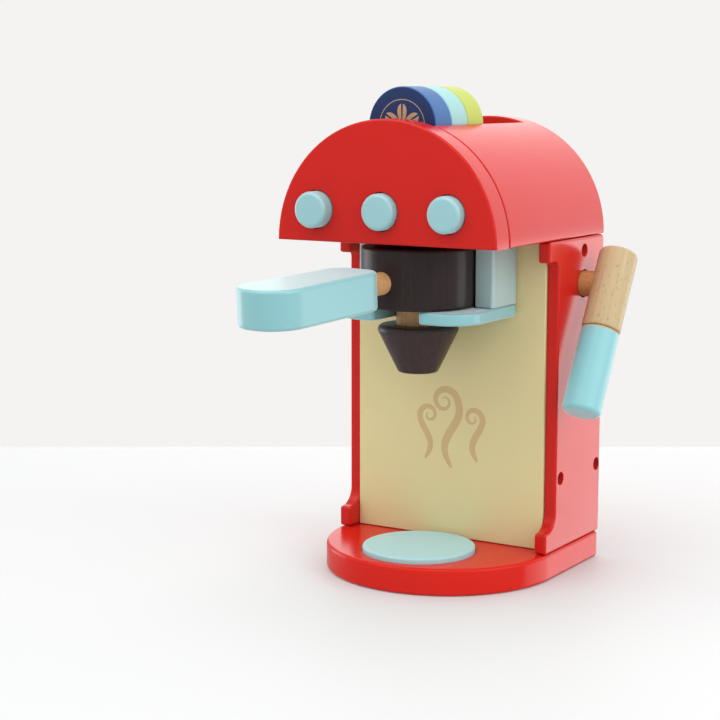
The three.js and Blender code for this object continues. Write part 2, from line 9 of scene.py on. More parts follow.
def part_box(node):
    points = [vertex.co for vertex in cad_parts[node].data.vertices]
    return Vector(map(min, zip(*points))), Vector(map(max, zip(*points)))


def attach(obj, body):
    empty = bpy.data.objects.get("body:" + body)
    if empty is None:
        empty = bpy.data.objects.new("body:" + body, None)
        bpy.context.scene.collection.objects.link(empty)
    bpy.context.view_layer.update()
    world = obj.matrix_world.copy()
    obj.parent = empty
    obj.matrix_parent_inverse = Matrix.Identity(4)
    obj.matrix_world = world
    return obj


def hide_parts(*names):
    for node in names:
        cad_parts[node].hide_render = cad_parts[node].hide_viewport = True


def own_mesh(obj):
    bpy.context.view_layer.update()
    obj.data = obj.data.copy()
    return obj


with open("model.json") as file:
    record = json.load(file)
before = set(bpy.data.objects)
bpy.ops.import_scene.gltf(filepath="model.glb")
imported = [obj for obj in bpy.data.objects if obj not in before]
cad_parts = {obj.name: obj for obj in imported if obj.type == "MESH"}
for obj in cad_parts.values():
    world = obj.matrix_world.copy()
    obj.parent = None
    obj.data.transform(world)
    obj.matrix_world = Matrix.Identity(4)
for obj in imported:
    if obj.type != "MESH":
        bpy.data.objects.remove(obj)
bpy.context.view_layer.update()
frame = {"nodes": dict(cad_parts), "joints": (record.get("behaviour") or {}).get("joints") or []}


# Base board: a thick board with a half-round front that carries the whole machine.
# It is cut from fibreboard, its edges are eased and it is painted red; a round pocket
# in its top takes the drip disc, and two sunk screws come up through it.
BASE_EDGE = 0.0019
BASE_CORNER = 0.003
BASE_FRONT_STEPS = 120
POCKET_GAP = 0.0003
POCKET_DEPTH = 0.003
POCKET_STEPS = 96
SCREW_HOLE_RADIUS = 0.0035
SCREW_HOLE_DEPTH = 0.0053
SCREW_HOLE_STEPS = 32
SHARP_ANGLE = 32
RED = (0.57, 0.0135, 0.009)
# The base's red is a lighter copy of the red paint: painted light from the table below.
LIT_BASE_RED = (0.635, 0.0165, 0.0095)
PAINT_DRIFT = 22
PAINT_RUB = 90
PAINT_PEEL = 420
PEEL_DEPTH = 0.000015
PEEL_STRENGTH = 0.5
HAZE_ROUGHNESS = 0.35


def arc(x, y, radius, start, end, steps):
    """Points along an arc in degrees, both ends included."""
    angles = [math.radians(start + (end - start) * i / steps) for i in range(steps + 1)]
    return [Vector((x + radius * math.cos(a), y + radius * math.sin(a))) for a in angles]


def arch(half_width, foot, top, steps):
    """A round top from right to left, as high above its foot as the given top."""
    share = (top - foot) / half_width
    return [Vector((p.x, foot + p.y * share)) for p in arc(0, 0, half_width, 0, 180, steps)]


def circle(x, y, radius, steps=64):
    """A round hole's outline, run clockwise so that its left side is the wood."""
    return arc(x, y, radius, 360, 0, steps)[:-1]


def filleted(corners, steps=8):
    """A closed outline with a fillet at each corner; a corner is (x, y, radius)."""
    points = []
    for i, (x, y, radius) in enumerate(corners):
        here = Vector((x, y))
        if radius == 0:
            points.append(here)
            continue
        back = (Vector(corners[i - 1][:2]) - here).normalized()
        ahead = (Vector(corners[(i + 1) % len(corners)][:2]) - here).normalized()
        half = back.angle(ahead) / 2
        centre = here + (back + ahead).normalized() * (radius / math.sin(half))
        first = here + back * (radius / math.tan(half)) - centre
        turn = (math.pi - 2 * half) * math.copysign(1, ahead.cross(back))
        for k in range(steps + 1):
            points.append(centre + Matrix.Rotation(turn * k / steps, 2) @ first)
    return points


def inset(points, depth):
    """The outline moved to its left, into the wood, by the same distance all round."""
    moved = []
    for i, point in enumerate(points):
        before = (point - points[i - 1]).normalized()
        after = (points[(i + 1) % len(points)] - point).normalized()
        left = Vector((-before.y - after.y, before.x + after.x))
        moved.append(point + left * (2 * depth / left.length_squared))
    return moved


def shaded(made):
    """Smooth faces, sharp beyond an angle, with flat faces kept flat up to their edges."""
    made.data.polygons.foreach_set("use_smooth", [True] * len(made.data.polygons))
    made.data.set_sharp_from_angle(angle=math.radians(SHARP_ANGLE))
    weighted = made.modifiers.new("flat faces", "WEIGHTED_NORMAL")
    weighted.keep_sharp = True
    return made


def mesh_object(name, vertices, faces):
    """A new object in the scene, with a mesh of these vertices and faces."""
    data = bpy.data.meshes.new(name)
    data.from_pydata(vertices, [], faces)
    data.validate()
    made = bpy.data.objects.new(name, data)
    bpy.context.scene.collection.objects.link(made)
    return made


def board(name, outline, thickness, edge, holes=(), pockets=(), hole_edge=0.0004, steps=4):
    """A board lying flat with its underside at z 0. Holes go through it; a pocket is an
    outline with its depth, cut from the top when positive and from below when negative."""
    vertices, faces = [], []

    def ring(points, z):
        start = len(vertices)
        vertices.extend((p.x, p.y, z) for p in points)
        return list(range(start, len(vertices)))

    def wall(lower, upper):
        for i in range(len(lower)):
            faces.append((lower[i - 1], lower[i], upper[i], upper[i - 1]))

    def eased(points, bottom, top, edge):
        """Rings up one edge; a rounded end where bottom or top is a face of the board."""
        turns = [math.pi / 2 * k / steps for k in range(steps + 1)]
        rings = []
        if bottom == 0:
            for t in turns[:-1]:
                depth = edge * (1 - math.sin(t))
                rings.append(ring(inset(points, depth), edge * (1 - math.cos(t))))
            rings.append(ring(points, edge))
        else:
            rings.append(ring(points, bottom))
        if top == thickness:
            rings.append(ring(points, thickness - edge))
            for t in turns[1:]:
                depth = edge * (1 - math.cos(t))
                rings.append(ring(inset(points, depth), thickness - edge * (1 - math.sin(t))))
        else:
            rings.append(ring(points, top))
        for lower, upper in zip(rings, rings[1:]):
            wall(lower, upper)
        return rings[0], rings[-1]

    def cap(loops, upward):
        flat = [index for loop in loops for index in loop]
        for a, b, c in tessellate_polygon([[vertices[i] for i in loop] for loop in loops]):
            p, q, r = (Vector(vertices[flat[k]]) for k in (a, b, c))
            up = (q - p).cross(r - p).z > 0
            order = (a, b, c) if up == upward else (a, c, b)
            faces.append(tuple(flat[k] for k in order))

    bottoms, tops = [], []
    for points in [outline, *holes]:
        low, high = eased(points, 0, thickness, edge if points is outline else hole_edge)
        bottoms.append(low)
        tops.append(high)
    for points, depth in pockets:
        if depth > 0:
            low, high = eased(points, thickness - depth, thickness, hole_edge)
            tops.append(high)
            cap([low], True)
        else:
            low, high = eased(points, 0, -depth, hole_edge)
            bottoms.append(low)
            cap([high], False)
    cap(bottoms, False)
    cap(tops, True)
    return shaded(mesh_object(name, vertices, faces))


def set_inputs(tree, node, inputs):
    """Gives each input of a node its value, or a link where that is another's socket."""
    for name, value in inputs.items():
        if isinstance(value, bpy.types.NodeSocket):
            tree.links.new(value, node.inputs[name])
        else:
            node.inputs[name].default_value = value


def add_node(tree, kind, inputs=None, **settings):
    """A new node of a tree, with its settings first and then its inputs."""
    made = tree.nodes.new(kind)
    for name, value in settings.items():
        setattr(made, name, value)
    set_inputs(tree, made, inputs or {})
    return made


def new_material(name):
    """A material's start: its node tree, its shader and the piece's own coordinates."""
    material = bpy.data.materials.new(name)
    material.use_nodes = True
    tree = material.node_tree
    place = add_node(tree, "ShaderNodeTexCoord").outputs["Object"]
    return material, tree, tree.nodes["Principled BSDF"], place


def noise(tree, place, scale, detail=2, roughness=0.5):
    """A soft cloudy pattern from 0 to 1, as fine as its scale."""
    shape = {"Vector": place, "Scale": scale, "Detail": detail, "Roughness": roughness}
    return add_node(tree, "ShaderNodeTexNoise", shape).outputs["Fac"]


def spanned(tree, value, low, high, start=0, end=1):
    """A value that runs from start to end, spread over the range from low to high."""
    span = {"Value": value, "From Min": start, "From Max": end, "To Min": low, "To Max": high}
    return add_node(tree, "ShaderNodeMapRange", span).outputs["Result"]


def paint_material(name, colour, roughness=0.2, gloss=0.27, haze=0, shade=0.03):
    """Satin lacquer over smooth wood: a slight drift of shade, and a fine orange peel.
    Haze is the pale bloom of a flatter lacquer, seen along the surface."""
    material, tree, shader, place = new_material(name)
    tone = add_node(tree, "ShaderNodeMix", {
        "Factor": noise(tree, place, PAINT_DRIFT, detail=3),
        "A": (*[c * (1 - shade) for c in colour], 1),
        "B": (*[min(1, c * (1 + shade)) for c in colour], 1),
    }, data_type="RGBA")
    rub = noise(tree, place, PAINT_RUB, detail=5)
    bump = add_node(tree, "ShaderNodeBump", {
        "Height": noise(tree, place, PAINT_PEEL),
        "Strength": PEEL_STRENGTH,
        "Distance": PEEL_DEPTH,
    })
    set_inputs(tree, shader, {
        "Base Color": tone.outputs["Result"],
        "Roughness": spanned(tree, rub, roughness - 0.03, roughness + 0.04),
        "Specular IOR Level": gloss,
        "Sheen Weight": haze,
        "Sheen Roughness": HAZE_ROUGHNESS,
        "Normal": bump.outputs["Normal"],
    })
    return material


red_paint = paint_material("red paint", RED)
base_low, base_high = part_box("base_board")
disc_low, disc_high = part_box("drip_disc")
base_radius = base_high.x
base_middle = base_low.y + base_radius
base_outline = [
    *arc(0, base_middle, base_radius, 180, 360, BASE_FRONT_STEPS),
    *filleted([
        (base_radius, base_middle, 0),
        (base_radius, base_high.y, BASE_CORNER),
        (-base_radius, base_high.y, BASE_CORNER),
        (-base_radius, base_middle, 0),
    ])[1:-1],
]
disc_radius = (disc_high.x - disc_low.x) / 2
disc_middle = (disc_high.y + disc_low.y) / 2
disc_hole = circle(0, disc_middle, disc_radius + POCKET_GAP, POCKET_STEPS)
base_pockets = [(disc_hole, POCKET_DEPTH)]
for word in ("left", "right"):
    low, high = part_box(f"base_screw_{word}")
    middle = (low + high) / 2
    screw_hole = circle(middle.x, middle.y, SCREW_HOLE_RADIUS, SCREW_HOLE_STEPS)
    base_pockets.append((screw_hole, -SCREW_HOLE_DEPTH))
base = board("painted_base", base_outline, base_high.z, BASE_EDGE, pockets=base_pockets)
# The base takes a lighter copy of the red paint, as painted light from the table below.
lit_base_paint = paint_material("red paint on the base, lightened as painted light", LIT_BASE_RED, gloss=0.17)
base.data.materials.append(lit_base_paint)
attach(base, "machine")
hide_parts("base_board")


# Drip disc: a turned wooden disc pressed into the base board's pocket.
# Its upper edge is rounded by hand sanding before the pale blue paint goes on.
PALE_BLUE = (0.22, 0.50, 0.535)
# The disc's blue is a lighter copy of the pale blue: painted light on its flat top.
LIT_DISC_BLUE = (0.37, 0.63, 0.65)
DISC_EDGE = 0.0013
DISC_LOWER_EDGE = 0.0003


def turned(name, corners, segments=96, steps=6):
    """A piece turned about Z from its profile; a corner is (radius, z, fillet).
    The profile starts and ends on the axis and runs upwards."""
    vertices, rings = [], []
    for radius, z in filleted(corners, steps):
        if radius == 0:
            rings.append([len(vertices)])
            vertices.append((0, 0, z))
            continue
        rings.append(list(range(len(vertices), len(vertices) + segments)))
        for k in range(segments):
            a = 2 * math.pi * k / segments
            vertices.append((radius * math.cos(a), radius * math.sin(a), z))
    faces = []
    for lower, upper in zip(rings, rings[1:]):
        for k in range(segments):
            j = (k + 1) % segments
            left = (lower[k % len(lower)], upper[k % len(upper)])
            right = (lower[j % len(lower)], upper[j % len(upper)])
            face = list(dict.fromkeys((left[0], right[0], right[1], left[1])))
            if len(face) > 2:
                faces.append(face)
    return shaded(mesh_object(name, vertices, faces))


def round_bar(name, radius, bottom, top, bottom_edge, top_edge, **fineness):
    """A disc or a round bar turned about Z, with a fillet at each end."""
    return turned(name, [
        (0, bottom, 0),
        (radius, bottom, bottom_edge),
        (radius, top, top_edge),
        (0, top, 0),
    ], **fineness)


pale_blue_paint = paint_material("pale blue paint", PALE_BLUE, roughness=0.36, gloss=1, haze=1)
disc_height = disc_high.z - disc_low.z
disc = round_bar("painted_drip_disc", disc_radius, 0, disc_height, DISC_LOWER_EDGE, DISC_EDGE,
                 segments=128)
disc.data.transform(Matrix.Translation((0, disc_middle, disc_low.z)))
# The disc takes a lighter copy of the pale blue, as painted light on its flat top.
lit_disc_paint = paint_material("pale blue paint lightened as painted light", LIT_DISC_BLUE, roughness=0.4, gloss=0.4, haze=0.3)
disc.data.materials.append(lit_disc_paint)
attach(disc, "machine")
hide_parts("drip_disc")


# Side panels: two thin red boards stand on the base and carry the head.
# Each front edge is cut back between an upper and a lower lug, with a large cove above
# the lower one; three sunk screws hold each panel, and the right one has the peg's hole.
SIDE_EDGE = 0.0013
RECESS_DEPTH = 0.0114
LUG_HEIGHT = 0.0113
LOWER_COVE = 0.0095
UPPER_COVE = 0.0035
LUG_CORNER = 0.0016
REAR_TOP_CORNER = 0.003
REAR_FOOT_CORNER = 0.0016
PEG_HOLE_RADIUS = 0.0075


def joint_place(name):
    """The point of the frame that a joint turns or slides about."""
    return next(joint["pos_m"] for joint in frame["joints"] if joint["name"] == name)


lever_axis = Vector(joint_place("lever_turn"))

for word in ("left", "right"):
    low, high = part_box(f"side_panel_{word}")
    recess = low.y + RECESS_DEPTH
    outline = filleted([
        (high.y, low.z, REAR_FOOT_CORNER),
        (high.y, high.z, REAR_TOP_CORNER),
        (low.y, high.z, LUG_CORNER),
        (low.y, high.z - LUG_HEIGHT, LUG_CORNER),
        (recess, high.z - LUG_HEIGHT, UPPER_COVE),
        (recess, low.z + LUG_HEIGHT, LOWER_COVE),
        (low.y, low.z + LUG_HEIGHT, LUG_CORNER),
        (low.y, low.z, LUG_CORNER),
    ])
    holes = []
    for kind in ("splash", "back", "top"):
        screw_low, screw_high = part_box(f"{kind}_screw_{word}")
        middle = (screw_low + screw_high) / 2
        holes.append(circle(middle.y, middle.z, SCREW_HOLE_RADIUS, SCREW_HOLE_STEPS))
    if word == "right":
        holes.append(circle(lever_axis.y, lever_axis.z, PEG_HOLE_RADIUS))
    panel = board(f"painted_side_panel_{word}", outline, high.x - low.x, SIDE_EDGE, holes=holes)
    on_side = Matrix(((0, 0, 1, low.x), (1, 0, 0, 0), (0, 1, 0, 0), (0, 0, 0, 1)))
    panel.data.transform(on_side)
    panel.data.materials.append(red_paint)
    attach(panel, "machine")
    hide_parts(f"side_panel_{word}")


# Splash panel: the thick cream board across the machine, behind the cup's place.
# Three wisps of steam are screen-printed on its face in tan ink, a film of ink thick.
CREAM = (0.70, 0.605, 0.315)
TAN_INK = (0.60, 0.43, 0.21)
INK_THICKNESS = 0.00004
SPLASH_EDGE = 0.0004
SPLASH_CORNER = 0.0005
PAINT_FILL = 0.0002
INK_GAP = 0.00001
CURL_TIGHTNESS = 0.8
WISP_END_SHARE = 0.12
WISP_THINNING = 0.55


def standing(made, front, thickness):
    """Stands a flat board up across the machine, its top face to the front at that y."""
    up = Matrix(((1, 0, 0, 0), (0, 0, -1, front + thickness), (0, 1, 0, 0), (0, 0, 0, 1)))
    made.data.transform(up)


cream_paint = paint_material("cream paint", CREAM, roughness=0.42, gloss=0.3)
splash_low, splash_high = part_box("splash_panel")
splash_half = splash_high.x + PAINT_FILL
splash_outline = filleted([
    (-splash_half, splash_low.z, SPLASH_CORNER),
    (splash_half, splash_low.z, SPLASH_CORNER),
    (splash_half, splash_high.z, SPLASH_CORNER),
    (-splash_half, splash_high.z, SPLASH_CORNER),
], steps=4)
splash_thickness = splash_high.y - splash_low.y
splash = board("painted_splash_panel", splash_outline, splash_thickness, SPLASH_EDGE)
standing(splash, splash_low.y, splash_thickness)
splash.data.materials.append(cream_paint)
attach(splash, "machine")
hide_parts("splash_panel")
ink_back = splash_low.y - INK_GAP
ink_front = ink_back - INK_THICKNESS


def wisp(name, foot, height, sway, waves, curl, turns, width, hand):
    """A wisp of steam: a swaying stroke up from its foot that ends in a spiral curl."""
    rise_steps, curl_steps = 48, 72
    line = []
    for i in range(rise_steps):
        t = i / rise_steps
        swing = hand * sway * math.sin(t * math.pi * waves)
        line.append(Vector((foot[0] + swing, foot[1] + height * t)))
    way = (line[-1] - line[-2]).normalized()
    centre = line[-1] + curl * hand * Vector((way.y, -way.x))
    spoke = line[-1] - centre
    for i in range(1, curl_steps + 1):
        t = i / curl_steps
        turn = Matrix.Rotation(-hand * t * turns * 2 * math.pi, 2)
        line.append(centre + turn @ spoke * (1 - CURL_TIGHTNESS * t ** CURL_TIGHTNESS))
    vertices, faces = [], []
    last = len(line) - 1
    for i, point in enumerate(line):
        t = i / last
        way = (line[min(i + 1, last)] - line[max(i - 1, 0)]).normalized()
        swell = math.sin(math.pi * t ** WISP_THINNING) * (1 - WISP_THINNING * t)
        half = width / 2 * (WISP_END_SHARE + swell)
        for edge, y in ((-1, ink_front), (1, ink_front), (1, ink_back), (-1, ink_back)):
            vertices.append((point.x + way.y * half * edge, y, point.y - way.x * half * edge))
    for i in range(last):
        for k in range(4):
            j = (k + 1) % 4
            faces.append((4 * i + k, 4 * i + j, 4 * i + 4 + j, 4 * i + 4 + k))
    faces.append((3, 2, 1, 0))
    faces.append(tuple(4 * last + k for k in range(4)))
    return mesh_object(name, vertices, faces)


steam_ink = paint_material("tan ink", TAN_INK, roughness=0.5, gloss=0.25, shade=0.05)
for word, foot, height, sway, waves, curl, turns, width, hand in (
    ("left", (-0.0150, 0.0580), 0.0260, 0.0034, 1.6, 0.0060, 1.15, 0.0038, 1),
    ("middle", (0.0020, 0.0540), 0.0420, 0.0046, 1.9, 0.0080, 1.3, 0.0048, -1),
    ("right", (0.0180, 0.0590), 0.0240, 0.0032, 1.5, 0.0062, 1.15, 0.0040, -1),
):
    printed = wisp(f"steam_print_{word}", foot, height, sway, waves, curl, turns, width, hand)
    printed.data.materials.append(steam_ink)
    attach(printed, "machine")


# Back board: a thin red board with a round top closes the machine and its head.
# It stands between the side panels and is held by a sunk screw from each side.
BACK_EDGE = 0.001
BACK_STEPS = 96

back_low, back_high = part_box("back_board")
head_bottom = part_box("head_front_panel")[0].z
back_outline = [
    Vector((-back_high.x, back_low.z)),
    Vector((back_high.x, back_low.z)),
    *arch(back_high.x, head_bottom, back_high.z, BACK_STEPS),
]
back_thickness = back_high.y - back_low.y
back = board("painted_back_board", back_outline, back_thickness, BACK_EDGE)
standing(back, back_low.y, back_thickness)
back.data.materials.append(red_paint)
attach(back, "machine")
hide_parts("back_board")


# Inner boards: the board under the head, the head's floor, the pods' shelf and rails, and
# the stems' guide. They are fibreboard, glued in; the floor, the shelf and the rails are
# painted red with the head, and the other two are left bare.
FIBREBOARD = (0.43, 0.26, 0.125)
FIBRE_SCALE = 900
FIBRE_DEPTH = 0.0001
FIBRE_SHADE = 0.72


def ramp(tree, value, *stops):
    """A colour that follows a value between two stops; a stop is its place and colour."""
    tone = add_node(tree, "ShaderNodeValToRGB", {"Fac": value})
    for element, (position, colour) in zip(tone.color_ramp.elements, stops):
        element.position = position
        element.color = (*colour, 1)
    return tone.outputs["Color"]


def fibreboard_material(name, colour):
    """Bare fibreboard: short felted fibres in a brown that is a little uneven."""
    material, tree, shader, place = new_material(name)
    fibre = noise(tree, place, FIBRE_SCALE, detail=6)
    bump = add_node(tree, "ShaderNodeBump", {"Height": fibre, "Distance": FIBRE_DEPTH})
    dark = [c * FIBRE_SHADE for c in colour]
    set_inputs(tree, shader, {
        "Base Color": ramp(tree, fibre, (0.3, dark), (0.7, colour)),
        "Roughness": 0.82,
        "Specular IOR Level": 0.25,
        "Normal": bump.outputs["Normal"],
    })
    return material


def refinish(node, material):
    """Gives the solid of a CAD node a finish of its own."""
    materials = frame["nodes"][node].data.materials
    materials.clear()
    materials.append(material)


fibreboard = fibreboard_material("bare fibreboard", FIBREBOARD)
for node in ("body_top_board", "button_guide_board"):
    refinish(node, fibreboard)
for node in ("head_floor", "pod_shelf", "slot_rail_left", "slot_rail_right"):
    refinish(node, red_paint)


# Group block: the pale blue block under the head, with a half-round seat bored from
# above for the filter cylinder, painted glossier; its blue is greyed with painted
# reflection of the red panels. Screwed and glued to the splash.
SEAT_RADIUS = 0.0315
SEAT_STEPS = 72
GROUP_EDGE = 0.0011
GROUP_CORNER = 0.0016
# A greyer, redder copy of the pale blue: painted reflection of the red panels around it.
BLUE_GREYED_BY_RED_REFLECTION = (0.38, 0.54, 0.545)

group_y = joint_place("filter_turn")[1]
block_low, block_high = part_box("group_block")
seat_front = math.degrees(math.asin((block_low.y - group_y) / SEAT_RADIUS))
seat_half = SEAT_RADIUS * math.cos(math.radians(seat_front))
block_outline = [
    *filleted([
        (seat_half, block_low.y, 0),
        (block_high.x, block_low.y, GROUP_CORNER),
        (block_high.x, block_high.y, GROUP_CORNER),
        (block_low.x, block_high.y, GROUP_CORNER),
        (block_low.x, block_low.y, GROUP_CORNER),
        (-seat_half, block_low.y, 0),
    ])[1:-1],
    *arc(0, group_y, SEAT_RADIUS, 180 - seat_front, seat_front, SEAT_STEPS),
]
block = board("painted_group_block", block_outline, block_high.z - block_low.z, GROUP_EDGE)
block.data.transform(Matrix.Translation((0, 0, block_low.z)))
blue_paint_with_red_reflection = paint_material("glossier blue paint, greyed by painted red reflection", BLUE_GREYED_BY_RED_REFLECTION, roughness=0.3, gloss=1, haze=0.7)
block.data.materials.append(blue_paint_with_red_reflection)
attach(block, "machine")
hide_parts("group_block")


# Fork plate: the pale blue plate under the block. Its slot takes the filter holder's
# neck; the prongs are rounded in plan and all edges are eased before painting.
FORK_SLOT_HALF = 0.0133
FORK_SLOT_STEPS = 48
FORK_CORNER = 0.018
FORK_REAR_CORNER = 0.002
FORK_TIP = 0.0022
FORK_EDGE = 0.0014

fork_low, fork_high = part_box("fork_plate")
fork_prong = filleted([
    (FORK_SLOT_HALF, group_y, 0),
    (FORK_SLOT_HALF, fork_low.y, FORK_TIP),
    (fork_high.x, fork_low.y, FORK_CORNER),
    (fork_high.x, fork_high.y, FORK_REAR_CORNER),
    (0, fork_high.y, 0),
], steps=16)[1:-1]
fork_outline = [
    *arc(0, group_y, FORK_SLOT_HALF, 180, 0, FORK_SLOT_STEPS),
    *fork_prong,
    *[Vector((-p.x, p.y)) for p in reversed(fork_prong)],
]
fork = board("painted_fork_plate", fork_outline, fork_high.z - fork_low.z, FORK_EDGE)
fork.data.transform(Matrix.Translation((0, 0, fork_low.z)))
fork.data.materials.append(pale_blue_paint)
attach(fork, "machine")
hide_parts("fork_plate")


# Head front panel: a thick board with a round top and three button holes, glued to the hood.
# Fibreboard with eased edges, painted red on all sides.
FRONT_EDGE = 0.0012
FRONT_ARCH_STEPS = 160
BUTTON_HOLE_RADIUS = 0.01

front_low, front_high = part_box("head_front_panel")
head_radius = front_high.x
button_places = []
for word in ("left", "middle", "right"):
    stem_low, stem_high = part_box(f"button_stem_{word}")
    button_places.append(((stem_low + stem_high) / 2, word))
front_outline = arch(head_radius, front_low.z, front_high.z, FRONT_ARCH_STEPS)
front_thickness = front_high.y - front_low.y
front_holes = [circle(middle.x, middle.z, BUTTON_HOLE_RADIUS) for middle, word in button_places]
front = board("painted_head_front", front_outline, front_thickness, FRONT_EDGE, holes=front_holes)
standing(front, front_low.y, front_thickness)
front.data.materials.append(red_paint)
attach(front, "machine")
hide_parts("head_front_panel")


# Hood: a board bent to an arch over the head, with the pods' slot cut in its top.
# The slot runs from the front panel to a bridge at the back; all edges are eased.
HOOD_EDGE = 0.0008
HOOD_EDGE_ANGLE = 50
HOOD_EDGE_STEPS = 4
HOOD_STEPS = 78
SLOT_HALF = 0.0206
SLOT_BRIDGE = 0.0134


def reckoned(tree, kind, *values):
    """One step of arithmetic with sockets or numbers."""
    step = add_node(tree, "ShaderNodeMath", dict(enumerate(values)), operation=kind)
    return step.outputs["Value"]


def piece_tree(name, sizes):
    """A piece's tree, with a named input for each of its sizes, and what it is given."""
    tree = bpy.data.node_groups.new(name, "GeometryNodeTree")
    tree.is_modifier = True
    tree.interface.new_socket("Geometry", in_out="INPUT", socket_type="NodeSocketGeometry")
    for label, size in sizes.items():
        socket = tree.interface.new_socket(label, in_out="INPUT", socket_type="NodeSocketFloat")
        socket.default_value = size
    tree.interface.new_socket("Geometry", in_out="OUTPUT", socket_type="NodeSocketGeometry")
    return tree, tree.nodes.new("NodeGroupInput").outputs


def grown(name, tree, geometry, material, data, sizes):
    """Ends a tree, and gives the mesh that it makes from the data as a plain object."""
    real = add_node(tree, "GeometryNodeRealizeInstances", {"Geometry": geometry})
    dress = add_node(tree, "GeometryNodeSetMaterial", {
        "Geometry": real.outputs["Geometry"], "Material": material,
    })
    add_node(tree, "NodeGroupOutput", {"Geometry": dress.outputs["Geometry"]})
    carrier = bpy.data.objects.new(f"{name}_source", data)
    bpy.context.scene.collection.objects.link(carrier)
    growing = carrier.modifiers.new("growing", "NODES")
    growing.node_group = tree
    for item in tree.interface.items_tree:
        if item.in_out == "INPUT" and item.name in sizes:
            growing[item.identifier] = sizes[item.name]
    depsgraph = bpy.context.evaluated_depsgraph_get()
    evaluated = carrier.evaluated_get(depsgraph)
    result = bpy.data.meshes.new_from_object(evaluated, depsgraph=depsgraph)
    carrier.modifiers.remove(growing)
    bpy.data.objects.remove(carrier)
    made = bpy.data.objects.new(name, result)
    bpy.context.scene.collection.objects.link(made)
    return made


hood_low, hood_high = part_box("hood")
panel_low, panel_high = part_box("side_panel_right")
hood_depth = hood_high.y - hood_low.y
hood_sizes = {
    "Radius": head_radius,
    "Wall": panel_high.x - panel_low.x,
    "Height share": (hood_high.z - hood_low.z) / head_radius,
    "Depth": hood_depth,
    "Slot half width": SLOT_HALF,
    "Slot length": hood_depth - SLOT_BRIDGE,
}
tree, given = piece_tree("bent hood", hood_sizes)
half_wall = reckoned(tree, "MULTIPLY", given["Wall"], 0.5)
bend = add_node(tree, "GeometryNodeCurveArc", {
    "Resolution": HOOD_STEPS,
    "Radius": reckoned(tree, "SUBTRACT", given["Radius"], half_wall),
    "Start Angle": 0,
    "Sweep Angle": math.pi,
})
section = add_node(tree, "GeometryNodeCurvePrimitiveQuadrilateral", {
    "Width": given["Wall"], "Height": given["Depth"],
})
sweep = add_node(tree, "GeometryNodeCurveToMesh", {
    "Curve": bend.outputs["Curve"],
    "Profile Curve": section.outputs["Curve"],
    "Fill Caps": True,
})
lowering = add_node(tree, "ShaderNodeCombineXYZ", {"X": 1, "Y": given["Height share"], "Z": 1})
lowered = add_node(tree, "GeometryNodeTransform", {
    "Geometry": sweep.outputs["Mesh"], "Scale": lowering.outputs["Vector"],
})
cutter_size = add_node(tree, "ShaderNodeCombineXYZ", {
    "X": reckoned(tree, "MULTIPLY", given["Slot half width"], 2),
    "Y": given["Radius"],
    "Z": reckoned(tree, "MULTIPLY", given["Slot length"], 2),
})
cutter = add_node(tree, "GeometryNodeMeshCube", {"Size": cutter_size.outputs["Vector"]})
cutter_place = add_node(tree, "ShaderNodeCombineXYZ", {
    "Y": given["Radius"], "Z": reckoned(tree, "MULTIPLY", given["Depth"], 0.5),
})
placed = add_node(tree, "GeometryNodeTransform", {
    "Geometry": cutter.outputs["Mesh"], "Translation": cutter_place.outputs["Vector"],
})
slotted = add_node(tree, "GeometryNodeMeshBoolean", {
    "Mesh 1": lowered.outputs["Geometry"], "Mesh 2": placed.outputs["Geometry"],
}, operation="DIFFERENCE", solver="EXACT")
hood_start = bpy.data.meshes.new("hood start")
hood = grown("painted_hood", tree, slotted.outputs["Mesh"], red_paint, hood_start, hood_sizes)
hood_middle = hood_low.y + hood_depth / 2
hood.data.transform(Matrix((
    (1, 0, 0, 0), (0, 0, -1, hood_middle), (0, 1, 0, hood_low.z), (0, 0, 0, 1),
)))
eased = hood.modifiers.new("eased edges", "BEVEL")
eased.limit_method = "ANGLE"
eased.angle_limit = math.radians(HOOD_EDGE_ANGLE)
eased.width = HOOD_EDGE
eased.segments = HOOD_EDGE_STEPS
eased.use_clamp_overlap = False
shaded(hood)
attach(hood, "machine")
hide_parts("hood")


# Push buttons: a turned cap with a wide rounded edge slides in each hole of the panel.
# A flange behind the panel keeps it in, and a dowel stem and a steel spring return it.
CAP_RADIUS = 0.0095
CAP_EDGE = 0.0021
# The caps' blue is a lighter copy of the pale blue: painted light and reflection on them.
LIT_CAP_BLUE = (0.28, 0.53, 0.56)
FLANGE_RADIUS = 0.012
FLANGE_THICKNESS = 0.0025
FLANGE_EDGE = 0.0004
SPRING_WIRE = 0.0009
SPRING_TURNS = 5
STEEL_GREY = (0.62, 0.63, 0.65)
STEEL_ROUGHNESS = 0.36
SCRATCH_SCALE = 1500
BEECH = (0.56, 0.43, 0.245)
BEECH_DARK = (0.475, 0.345, 0.18)
STREAKS = (620, 14)
FLECKS = (800, 210)
FLECK_RIM = (0.14, 0.3)
FLECK_CLUSTERS = (260, 90)
CLUSTER_RIM = (0.3, 0.5)
FLECK_SHADE = 0.55
STREAK_DEPTH = 0.00008
TOUCHING = 0.000001


